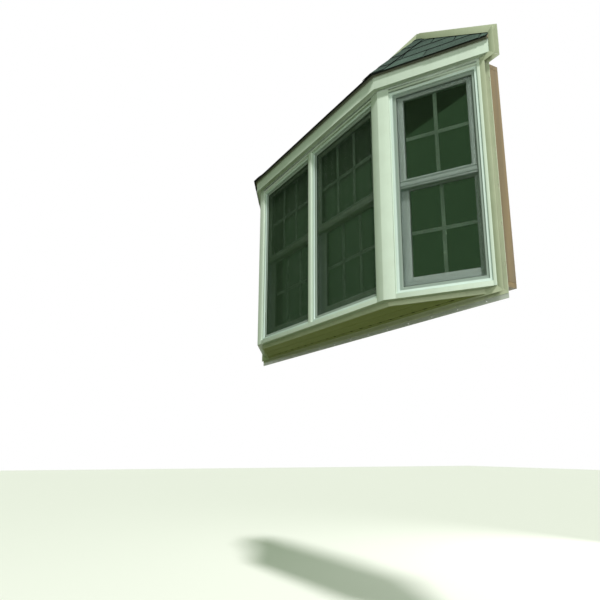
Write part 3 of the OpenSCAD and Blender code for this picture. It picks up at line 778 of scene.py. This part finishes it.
def tab_tree():
    """Courses of staggered tabs, each with a slip, a slight turn and a shade of its own."""
    g, given, result = geometry_tree(
        "Courses of tabs", Piece="Object", Columns="Int", Rows="Int", Width="Float",
        Exposure="Float", Slip="Float", Turn="Float", Seed="Int")
    points = g.line(g.math("MULTIPLY", given["Columns"], given["Rows"]), (0, 0, 0))
    index = g.add("GeometryNodeInputIndex").outputs[0]
    row = g.math("FLOOR", g.math("DIVIDE", g.math("ADD", index, 0.5), given["Columns"]))
    column = g.math("SUBTRACT", index, g.math("MULTIPLY", row, given["Columns"]))
    stagger = g.math("MULTIPLY", g.math("MODULO", row, 2.0), 0.5)
    slip = random_value(g, 0.0, given["Slip"], given["Seed"])
    place = g.vector(g.math("MULTIPLY", g.math("ADD", column, stagger), given["Width"]),
                     g.math("ADD", g.math("MULTIPLY", row, given["Exposure"]), slip))
    placed = g.add("GeometryNodeSetPosition", {"Geometry": points, "Position": place})
    low = g.math("MULTIPLY", given["Turn"], -1.0)
    turn = random_value(g, low, given["Turn"], g.math("ADD", given["Seed"], 1.0))
    tabs = g.copies(placed.outputs[0], g.shape(given["Piece"]), Rotation=g.vector(z=turn))
    tone = random_value(g, 0.0, 1.0, g.math("ADD", given["Seed"], 2.0))
    toned = g.add("GeometryNodeStoreNamedAttribute", {
        "Geometry": tabs, "Name": "tone", "Value": tone}, data_type="FLOAT", domain="INSTANCE")
    return ended(g, given, result, toned.outputs[0])


TREES = {}


def tree(name):
    """The geometry tree of that name, built the first time it is asked for."""
    makers = {"row": row_tree, "wires": wire_tree, "chain": chain_tree, "slots": slot_tree,
              "tabs": tab_tree}
    if name not in TREES:
        TREES[name] = makers[name]()
    return TREES[name]


class Slope:
    """One slope of the roof: its axes along the eave, up the slope and away from the deck."""

    half_front = 0.7885
    projection = 0.315
    eave_out = 0.040
    eave_z = 1.336
    front_rise = 1.02
    hip_top = 0.810

    def __init__(self, side):
        angle = side * sizes().side_angle
        self.side = side
        reach = self.projection + self.eave_out
        run = (self.eave_out + self.projection * math.cos(angle)
               - (self.hip_top - self.half_front) * abs(math.sin(angle)))
        rise = self.front_rise * reach / run if side else self.front_rise
        outward = Vector((math.sin(angle), -math.cos(angle), 0))
        self.along = Vector((math.cos(angle), math.sin(angle), 0))
        self.up = (Vector((0, 0, rise)) - outward).normalized()
        self.normal = self.along.cross(self.up)
        corner = Vector((side * self.half_front, -self.projection, self.eave_z))
        self.origin = corner + outward * self.eave_out
        self.length = reach * math.hypot(1, rise)

    def matrix(self, along, up, height):
        """Places a mesh on the slope, at lengths along the eave, up the slope and over it."""
        turn = Matrix((self.along, self.up, self.normal)).transposed().to_4x4()
        place = self.origin + self.along * along + self.up * up + self.normal * height
        return Matrix.Translation(place) @ turn


def hip(side):
    """The foot and the top of a hip on the deck."""
    half = math.tan(sizes().side_angle / 2)
    foot_x = Slope.half_front + Slope.eave_out * half
    rise = Slope.front_rise * (Slope.projection + Slope.eave_out)
    return (Vector((side * foot_x, -Slope.projection - Slope.eave_out, Slope.eave_z)),
            Vector((side * Slope.hip_top, 0, Slope.eave_z + rise)))


def hip_plane(side, keep):
    """A plane through a hip that cuts away the slope on the far side from "keep"."""
    foot, top = hip(side)
    normal = Vector((top.y - foot.y, foot.x - top.x, 0)).normalized()
    if (keep - foot).dot(normal) > 0:
        normal.negate()
    return foot - normal * SEAM / 2, normal


# Operators


class BAY_OT_stage(bpy.types.Operator):
    """Sets the floor, the lamps, the world and the camera."""

    bl_idname = "bay.stage"
    bl_label = "Stage"

    camera_place = (3.222, -2.150, -0.770)
    yaw = math.radians(61.27)
    pitch = math.radians(14.311)
    roll = math.radians(0.247)
    lens = 35.53
    near = 0.01
    floor_z = -1.75
    floor_size = 60.0

    # Each pair is the light that is cast, then what shows.
    floor_colours = ((0.065, 0.082, 0.008, 1), (0.86, 0.86, 0.85, 1))
    sky_colours = ((0.62, 1.0, 0.46, 1), (1, 1, 1, 1))
    sky_strengths = (0.25, 1.0)

    sun_colour = (1.0, 0.98, 0.94)
    sun_power = 3.0
    sun_angle = math.radians(7)
    sun_height = math.radians(52)
    sun_side = math.radians(66)

    def execute(self, context):
        self.camera(context.scene)
        self.floor()
        self.world(context.scene)
        self.sun()
        self.lamp("fill", (5.1, -2.9, 0.3), (0.0, -0.2, 0.5), 4.0, 125.0, (0.98, 1.0, 0.99))
        self.lamp("room", (0.0, 4.5, 0.3), (0.0, 0.1, 0.6), 3.0, 120.0, (1.0, 0.98, 0.95))
        context.scene.view_settings.view_transform = "Standard"
        return {"FINISHED"}

    def camera(self, scene):
        forward = Vector((-math.sin(self.yaw) * math.cos(self.pitch),
                          math.cos(self.yaw) * math.cos(self.pitch), math.sin(self.pitch)))
        level = Vector((math.cos(self.yaw), math.sin(self.yaw), 0.0))
        above = level.cross(forward)
        right = level * math.cos(self.roll) + above * math.sin(self.roll)
        up = -level * math.sin(self.roll) + above * math.cos(self.roll)
        data = bpy.data.cameras.new("camera")
        data.lens = self.lens
        data.clip_start = self.near
        camera = linked("camera", data)
        turn = Matrix((right, up, -forward)).transposed().to_4x4()
        camera.matrix_world = Matrix.Translation(self.camera_place) @ turn
        scene.camera = camera

    def floor(self):
        bm = bmesh.new()
        bmesh.ops.create_grid(bm, x_segments=1, y_segments=1, size=self.floor_size / 2)
        bmesh.ops.translate(bm, vec=(0, 0, self.floor_z), verts=bm.verts)
        floor = linked("floor", plain_mesh(bm, "floor"))
        surface = Surface("Pale floor", Roughness=0.9)
        g = surface.graph
        surface.feed(Base_Color=g.mix(g.seen(), *self.floor_colours))
        floor.data.materials.append(surface.material)

    def world(self, scene):
        world = bpy.data.worlds.new("studio")
        world.use_nodes = True
        scene.world = world
        g = Graph(world.node_tree)
        background = world.node_tree.nodes["Background"]
        seen = g.seen()
        g.feed(background.inputs["Color"], g.mix(seen, *self.sky_colours))
        g.feed(background.inputs["Strength"], g.spread(seen, 0.0, 1.0, *self.sky_strengths))

    def sun(self):
        """The high sun on the right that shades the head and the right jamb of each window."""
        data = bpy.data.lights.new("sun", "SUN")
        data.energy = self.sun_power
        data.angle = self.sun_angle
        data.color = self.sun_colour
        lamp = linked("sun", data)
        height, side = self.sun_height, self.sun_side
        toward = Vector((math.cos(height) * math.sin(side), -math.cos(height) * math.cos(side),
                         math.sin(height)))
        lamp.matrix_world = toward.to_track_quat("Z", "Y").to_matrix().to_4x4()

    def lamp(self, name, place, target, size, power, colour):
        data = bpy.data.lights.new(name, "AREA")
        data.shape = "SQUARE"
        data.size = size
        data.energy = power
        data.color = colour
        lamp = linked(name, data)
        aim = Vector(target) - Vector(place)
        turn = aim.to_track_quat("-Z", "Y").to_matrix().to_4x4()
        lamp.matrix_world = Matrix.Translation(place) @ turn


class BAY_OT_boards(bpy.types.Operator):
    """Dresses the seat and head boards, the jambs and the posts."""

    bl_idname = "bay.boards"
    bl_label = "Boards and posts"

    def execute(self, context):
        for node in ("seat_board", "head_board"):
            dress(node, "Board along X", sizes().edge)
        for node in ("left_wall_jamb", "right_wall_jamb", "left_corner_post",
                     "right_corner_post", "centre_post"):
            dress(node, "Board along Z", sizes().edge)
        return {"FINISHED"}


class BAY_OT_frames(bpy.types.Operator):
    """Dresses the window frames and the sashes."""

    bl_idname = "bay.frames"
    bl_label = "Frames and sashes"

    bead_front = 0.0005
    bead_depth = 0.0035
    lock_edge = 0.0006
    ridge = 0.004
    ridge_edge = 0.0005
    ridge_root = 0.0005
    ridge_end = 0.002
    ridge_heights = ((0.010, 0.028), (0.038, 0.048))

    def execute(self, context):
        for window in WINDOWS:
            for part in ("frame", "upper_sash", "lower_sash"):
                dress(f"{window}_{part}", "Window vinyl", fine_edge())
        ridges = [(self.ridges(window), turned(window)) for window in WINDOWS]
        mesh = eased(joined("rail_ridges", ridges), self.ridge_edge)
        piece = add_piece("rail_ridges", mesh, ["Window vinyl"])
        dress("sash_locks", "Lock enamel", self.lock_edge)
        beads = [(self.bead(window), turned(window)) for window in WINDOWS]
        add_piece("sealant", joined("sealant", beads), ["Sealant"])
        return {"FINISHED"}

    def ridges(self, window):
        """The two ridges that run along the meeting rail of the upper sash."""
        low, high = solids(f"{window}_upper_sash", turned(window))[0]
        bm = bmesh.new()
        for bottom, top in self.ridge_heights:
            outline = ((self.ridge_root, bottom), (-self.ridge, bottom + self.ridge * 0.5),
                       (-self.ridge, top - self.ridge), (self.ridge_root, top))
            ends = [[bm.verts.new((x, low.y + out, low.z + up)) for out, up in outline]
                    for x in (low.x + self.ridge_end, high.x - self.ridge_end)]
            bridge(bm, *ends)
            for end in ends:
                bm.faces.new(end)
        bmesh.ops.recalc_face_normals(bm, faces=bm.faces)
        return plain_mesh(bm, "ridges")

    def bead(self, window):
        """The bead of sealant that fills the joint round a frame's front."""
        low, high = solids(f"{window}_frame", turned(window))[0]
        joint = sizes().joint
        bm = bmesh.new()
        add_ring(bm, Vector((low.x - joint, low.y + self.bead_front, low.z - joint)),
                 Vector((high.x + joint, low.y + self.bead_depth, high.z + joint)), joint)
        return plain_mesh(bm, "bead")


class BAY_OT_glazing(bpy.types.Operator):
    """Makes the sealed glass: two panes, their spacer, and the bars between them."""

    bl_idname = "bay.glazing"
    bl_label = "Glass and bars"

    spacer_width = 0.009
    columns = {"left": 1, "front_left": 2, "front_right": 2, "right": 1}

    def execute(self, context):
        bars = []
        for window in WINDOWS:
            turn = turned(window)
            panes = sorted(solids(f"{window}_glass", turn), key=lambda box: (box[0].z, box[0].y))
            bm = bmesh.new()
            spacers = bmesh.new()
            for outer, inner in (panes[0:2], panes[2:4]):
                add_box(bm, *outer, 0)
                add_box(bm, *inner, 1)
                low = Vector((outer[0].x, outer[1].y, outer[0].z))
                high = Vector((outer[1].x, inner[0].y, outer[1].z))
                add_ring(spacers, low, high, self.spacer_width)
                bars.extend(self.bars(low, high, self.columns[window], turn))
            bm.transform(turn)
            spacers.transform(turn)
            piece = add_piece(f"{window}_panes", plain_mesh(bm, "panes"),
                              ["Outer glass", "Inner glass"])
            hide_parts(f"{window}_glass")
            spacer = add_piece(f"{window}_spacers", plain_mesh(spacers, "spacers"), ["Spacer"])
        piece = add_piece("window_bars", joined("window_bars", bars), ["Bar vinyl"])
        return {"FINISHED"}

    def bars(self, low, high, columns, turn):
        """Upright bars and one level bar of a sash, each with the transform that places it."""
        s = sizes()
        width = high.x - low.x - 2 * self.spacer_width
        height = high.z - low.z - 2 * self.spacer_width
        middle = (low + high) / 2
        step = width / (columns + 1)
        upright = grown(tree("row"), "bars", Count=columns, Step=step,
                        Size=(s.bar_width, s.bar_thickness, height),
                        Material=material("Bar vinyl"))
        level = grown(tree("row"), "bars", Count=1, Step=0.0,
                      Size=(s.bar_width, s.bar_thickness * 0.9, width),
                      Material=material("Bar vinyl"))
        first = middle - Vector((step * (columns - 1) / 2, 0, 0))
        lie = Matrix.Rotation(math.pi / 2, 4, "Y")
        return [(eased(upright, s.bar_thickness / 4), turn @ Matrix.Translation(first)),
                (eased(level, s.bar_thickness / 4), turn @ Matrix.Translation(middle) @ lie)]


class BAY_OT_screens(bpy.types.Operator):
    """Makes the insect screens: dressed frames, woven wires and the cord that holds them."""

    bl_idname = "bay.screens"
    bl_label = "Insect screens"

    cord = 0.004
    cord_front = 0.001

    def execute(self, context):
        cloth, cords = [], []
        for window in WINDOWS:
            dress(f"{window}_screen_frame", "Screen frame", fine_edge())
            turn = turned(window)
            low, high = self.cloth_box(window, turn)
            cloth.extend(self.sheet(low, high, turn))
            ring = bmesh.new()
            front = low.y + self.cord_front
            add_ring(ring, Vector((low.x, front, low.z)),
                     Vector((high.x, front + self.cord / 2, high.z)), self.cord)
            cords.append((plain_mesh(ring, "cord"), turn))
        piece = add_piece("screen_wires", joined("screen_wires", cloth), ["Screen wire"])
        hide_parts("insect_mesh")
        piece = add_piece("screen_cords", joined("screen_cords", cords), ["Screen spline"])
        return {"FINISHED"}

    def cloth_box(self, window, turn):
        """The box of this window's cloth, in its own axes."""
        frame_low, frame_high = solids(f"{window}_screen_frame", turn)[0]
        for low, high in solids("insect_mesh", turn):
            middle = (low + high) / 2
            if all(frame_low[i] < middle[i] < frame_high[i] for i in range(3)):
                if high.y - low.y < frame_high.y - frame_low.y:
                    return low, high
        raise RuntimeError(f"no cloth was found inside the {window} screen frame")

    def sheet(self, low, high, turn):
        """The upright and the level wires of a cloth, each with the transform that places it."""
        s = sizes()
        middle = (low + high) / 2
        width, height = high.x - low.x, high.z - low.z
        parts = []
        for span, length, depth, lie, shift in (
                (width, height, s.weave_depth, Matrix.Identity(4), 0.0),
                (height, width, s.wire_thickness, Matrix.Rotation(math.pi / 2, 4, "Y"),
                 s.wire_thickness)):
            wires = grown(tree("wires"), "wires", Span=span, Length=length, Pitch=s.wire_pitch,
                          Thickness=s.wire_thickness, Depth=depth,
                          Material=material("Screen wire"))
            start = Matrix.Translation((-span / 2, 0, 0))
            place = Matrix.Translation(middle + Vector((0, shift, 0)))
            parts.append((wires, turn @ place @ lie @ start))
        return parts


class BAY_OT_trims(bpy.types.Operator):
    """Dresses the covers, the bands, the fascia and the eave soffit."""

    bl_idname = "bay.trims"
    bl_label = "Covers and trim"

    def execute(self, context):
        for node in ("left_corner_cover", "right_corner_cover", "centre_cover", "wall_trim",
                     "sill_trim", "head_trim", "fascia", "eave_soffit"):
            dress(node, "Trim metal", sizes().edge)
        return {"FINISHED"}


class BAY_OT_underside(bpy.types.Operator):
    """Dresses the skirt and the vented panels under the seat."""

    bl_idname = "bay.underside"
    bl_label = "Skirt and soffit"

    sheet_z = -0.0222
    hollow = (0.048, 0.036, 0.0084)
    slot_height = 0.004
    vent_y = -0.060
    vents_each_way = 10

    def execute(self, context):
        s = sizes()
        length, width, height = self.hollow
        bm = bmesh.new()
        add_box(bm, Vector((-length / 2, -width / 2, 0)), Vector((length / 2, width / 2, height)))
        slot = oblong(s.vent_length, s.vent_width, self.slot_height)
        cutters = (plain_mesh(bm, "hollow"), slot)
        first = (-self.vents_each_way * s.vent_pitch, self.vent_y, self.sheet_z)
        rows = [(cutter, first, (s.vent_pitch, 0, 0), 2 * self.vents_each_way + 1)
                for cutter in cutters]
        dress("skirt", "Sage vinyl", s.edge)
        dress("bottom_soffit", "Vented vinyl", s.edge, rows)
        return {"FINISHED"}


class BAY_OT_roof_frame(bpy.types.Operator):
    """Dresses the plate, rafters, ledger and deck."""

    bl_idname = "bay.roof_frame"
    bl_label = "Roof framing"

    deck_edge = 0.0008

    def execute(self, context):
        for node, finish in (("top_plate", "Lumber along X"), ("roof_ledger", "Lumber along X"),
                             ("rafters", "Lumber along Y")):
            dress(node, finish, sizes().lumber_edge)
        dress("roof_deck", "Deck board", self.deck_edge)
        return {"FINISHED"}


class BAY_OT_shingles(bpy.types.Operator):
    """Lays the roof's courses of tabs and the bent caps on its hips."""

    bl_idname = "bay.shingles"
    bl_label = "Shingles"

    sheet = 0.003

    # Each is the height of its top at both edges, then its thickness.
    felt = (0.0003, 0.0003, 0.0002)
    starter = (0.0028, 0.0028, 0.0022)

    first_seed = 20
    lap = 0.008
    slip = 0.006
    turn = math.radians(0.35)
    back_y = -0.0015
    cap_back_y = -0.0223
    end_x = 1.366
    cap_base = 0.0062
    cap_start = -0.045
    cap_count = 4
    cap_foot = -0.0111

    def execute(self, context):
        slopes = [self.slope(side) for side in (-1, 0, 1)]
        piece = add_piece("shingle_tabs", joined("shingle_tabs", slopes), ["Shingle granules"])
        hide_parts("roof_shingles")
        caps = [(self.caps(side), Matrix.Identity(4)) for side in (-1, 1)]
        piece = add_piece("hip_shingles", joined("hip_shingles", caps), ["Shingle granules"])
        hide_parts("hip_caps")
        return {"FINISHED"}

    def wedge(self, width, length, low, high, depth):
        """A sheet that lies in X and Y, with its top falling from high to low along Y."""
        bm = bmesh.new()
        bm.loops.layers.float.new("reach")
        rows = [[bm.verts.new((x, y, z)) for x in (0, width)] for y, z in
                ((0, high - depth), (0, high), (length, low), (length, low - depth))]
        ends = list(zip(*rows))
        faces = bridge(bm, *ends)
        top = faces[1]
        faces += [bm.faces.new(end) for end in ends]
        mark_reach(bm, faces, [top], lambda place: place.y / length)
        bmesh.ops.recalc_face_normals(bm, faces=bm.faces)
        return plain_mesh(bm, "wedge")

    def slope(self, side):
        """The tabs of one slope with the sheet and the starter strip under them."""
        s, slope = sizes(), Slope(side)
        start = -s.shingle_reach
        rows = math.ceil((slope.length - start) / s.exposure)
        span = 2 * slope.hip_top if side == 0 else self.end_x
        first = -span / 2 if side == 0 else (0 if side > 0 else -span)
        columns = math.ceil(span / s.tab_width) + 2
        tab_length = s.exposure + self.lap
        high = s.shingle_thickness
        low = high - self.sheet * tab_length / s.exposure
        tab = template(self.wedge(s.tab_width - s.tab_gap, tab_length, low, high, self.sheet))
        tabs = grown(tree("tabs"), "tabs", Piece=tab, Columns=columns, Rows=rows,
                     Width=s.tab_width, Exposure=s.exposure, Slip=self.slip, Turn=self.turn,
                     Seed=self.first_seed + side, Material=material("Shingle granules"))
        width = span + 2 * s.tab_width
        felt = self.wedge(width, slope.length, *self.felt)
        strip = self.wedge(width, s.exposure / 2, *self.starter)
        left = first - s.tab_width
        mesh = joined("slope", [(tabs, slope.matrix(left, start, 0)),
                                (felt, slope.matrix(left, start + self.slip, 0)),
                                (strip, slope.matrix(left, start + self.slip / 2, 0))])
        middle = slope.origin + slope.along * (side * self.end_x / 2) + slope.up * s.exposure
        planes = [(Vector((0, self.back_y, 0)), Vector((0, 1, 0)))]
        planes += [hip_plane(turn, middle) for turn in ((-1, 1) if side == 0 else (side,))]
        if side:
            planes.append((Vector((side * self.end_x, 0, 0)), Vector((side, 0, 0))))
        return clipped(mesh, planes), Matrix.Identity(4)

    def caps(self, side):
        """A chain of lapped caps, each bent over the hip."""
        s = sizes()
        foot, top = hip(side)
        run = (top - foot).normalized()
        front, flank = Slope(0), Slope(side)
        lift = (front.normal + flank.normal) / (1 + front.normal.dot(flank.normal))
        length = s.exposure + self.lap
        bm = bmesh.new()
        bm.loops.layers.float.new("reach")
        wings = []
        for normal, away in ((front.normal, -side), (flank.normal, side)):
            wing = normal.cross(run)
            wings.append((normal, wing if wing.x * away > 0 else -wing))
        rings = []
        for t, high in ((0, s.shingle_thickness), (length, self.sheet)):
            start = run * t
            ring = []
            for height in (high, high - self.sheet):
                over = self.cap_base + height
                points = [start + normal * over + wing * s.cap_width for normal, wing in wings]
                row = [points[0], start + lift * over, points[1]]
                ring.extend(row if height == high else reversed(row))
            rings.append([bm.verts.new(point) for point in ring])
        faces = bridge(bm, *rings)
        tops = faces[:2]
        for a, b, c, d, e, f in rings:
            faces += [bm.faces.new((a, b, e, f)), bm.faces.new((b, c, d, e))]
        mark_reach(bm, faces, tops, lambda place: max(place.dot(run) / length, 0.0))
        bmesh.ops.recalc_face_normals(bm, faces=bm.faces)
        cap = plain_mesh(bm, "cap")
        start = Matrix.Translation(foot + run * self.cap_start)
        parts = [(self.first_cap(cap, start, side, slope), Matrix.Identity(4))
                 for slope in (front, flank)]
        chain = grown(tree("chain"), "caps", Piece=template(cap), Count=self.cap_count,
                      Step=run * s.exposure, Material=material("Shingle granules"))
        parts.append((chain, start @ Matrix.Translation(run * s.exposure)))
        planes = [(Vector((0, self.cap_back_y, 0)), Vector((0, 1, 0)))]
        return clipped(joined("caps", parts), planes)

    def first_cap(self, cap, start, side, slope):
        """One wing of the lowest cap, trimmed along its own eave."""
        wing = cap.copy()
        wing.transform(start)
        inside = slope.origin + slope.along * slope.side
        eave = slope.origin + slope.up * self.cap_foot
        return clipped(wing, [hip_plane(side, inside), (eave, -slope.up)])


class BAY_OT_metalwork(bpy.types.Operator):
    """Dresses the drip edge, the flashing, the fins and the siding's channel."""

    bl_idname = "bay.metalwork"
    bl_label = "Flashing and channels"

    drip_radius = 0.0004
    sheet_radius = 0.0003
    channel_radius = 0.0005
    nail_slot = (0.025, 0.0045, 0.02)
    nail_hole = (0.008, 0.003, 0.02)
    nail_pitch = 0.2
    flange = 0.040
    end_x = 1.294
    top_z = 1.6886
    fin_z = -0.058

    def execute(self, context):
        dress("drip_edge", "Drip metal", self.drip_radius)
        dress("roof_flashing", "Galvanised sheet", self.sheet_radius)
        lie = Matrix.Rotation(math.pi / 2, 4, "X")
        level, upright, hole = (oblong(*self.nail_slot), oblong(*self.nail_slot),
                                oblong(*self.nail_hole))
        level.transform(lie)
        hole.transform(lie)
        upright.transform(Matrix.Rotation(math.pi / 2, 4, "Y") @ lie)
        x, pitch = self.end_x + self.flange, self.nail_pitch
        sides = [(upright, (side * x, 0, pitch / 2), (0, 0, pitch), 6) for side in (-1, 1)]
        across = (pitch, 0, 0)
        dress("mounting_fin", "Galvanised sheet", self.sheet_radius,
              [(hole, (-6 * pitch, 0, self.fin_z), across, 13)])
        dress("side_fins", "Galvanised sheet", self.sheet_radius, sides)
        dress("bottom_channel", "Sage vinyl", self.channel_radius,
              [(level, (-6 * pitch, 0, -self.flange), across, 13)])
        dress("side_channels", "Sage vinyl", self.channel_radius, sides)
        dress("roof_channel", "Sage vinyl", self.channel_radius,
              [(level, (-3.5 * pitch, 0, self.top_z + self.flange), across, 8)])
        return {"FINISHED"}


class BAY_PT_panel(bpy.types.Panel):
    """Lists the operators and the settings in the sidebar."""

    bl_label = "Bay window"
    bl_idname = "BAY_PT_panel"
    bl_space_type = "VIEW_3D"
    bl_region_type = "UI"
    bl_category = "Bay window"

    def draw(self, context):
        for operator in OPERATORS:
            self.layout.operator(operator.bl_idname)
        for settings in (context.scene.bay_sizes, context.scene.bay_colours):
            for label in settings.__annotations__:
                self.layout.prop(settings, label)


OPERATORS = (BAY_OT_stage, BAY_OT_boards, BAY_OT_frames, BAY_OT_glazing, BAY_OT_screens,
             BAY_OT_trims, BAY_OT_underside, BAY_OT_roof_frame, BAY_OT_shingles,
             BAY_OT_metalwork)
CLASSES = (BaySizes, BayColours, *OPERATORS, BAY_PT_panel)


def register():
    for cls in CLASSES:
        bpy.utils.register_class(cls)
    bpy.types.Scene.bay_sizes = bpy.props.PointerProperty(type=BaySizes)
    bpy.types.Scene.bay_colours = bpy.props.PointerProperty(type=BayColours)


def unregister():
    del bpy.types.Scene.bay_sizes
    del bpy.types.Scene.bay_colours
    for cls in reversed(CLASSES):
        bpy.utils.unregister_class(cls)


def main():
    register()
    bpy.ops.bay.stage()
    bpy.ops.bay.boards()
    bpy.ops.bay.frames()
    bpy.ops.bay.glazing()
    bpy.ops.bay.screens()
    bpy.ops.bay.trims()
    bpy.ops.bay.underside()
    bpy.ops.bay.roof_frame()
    bpy.ops.bay.shingles()
    bpy.ops.bay.metalwork()


if __name__ == "__main__":
    main()
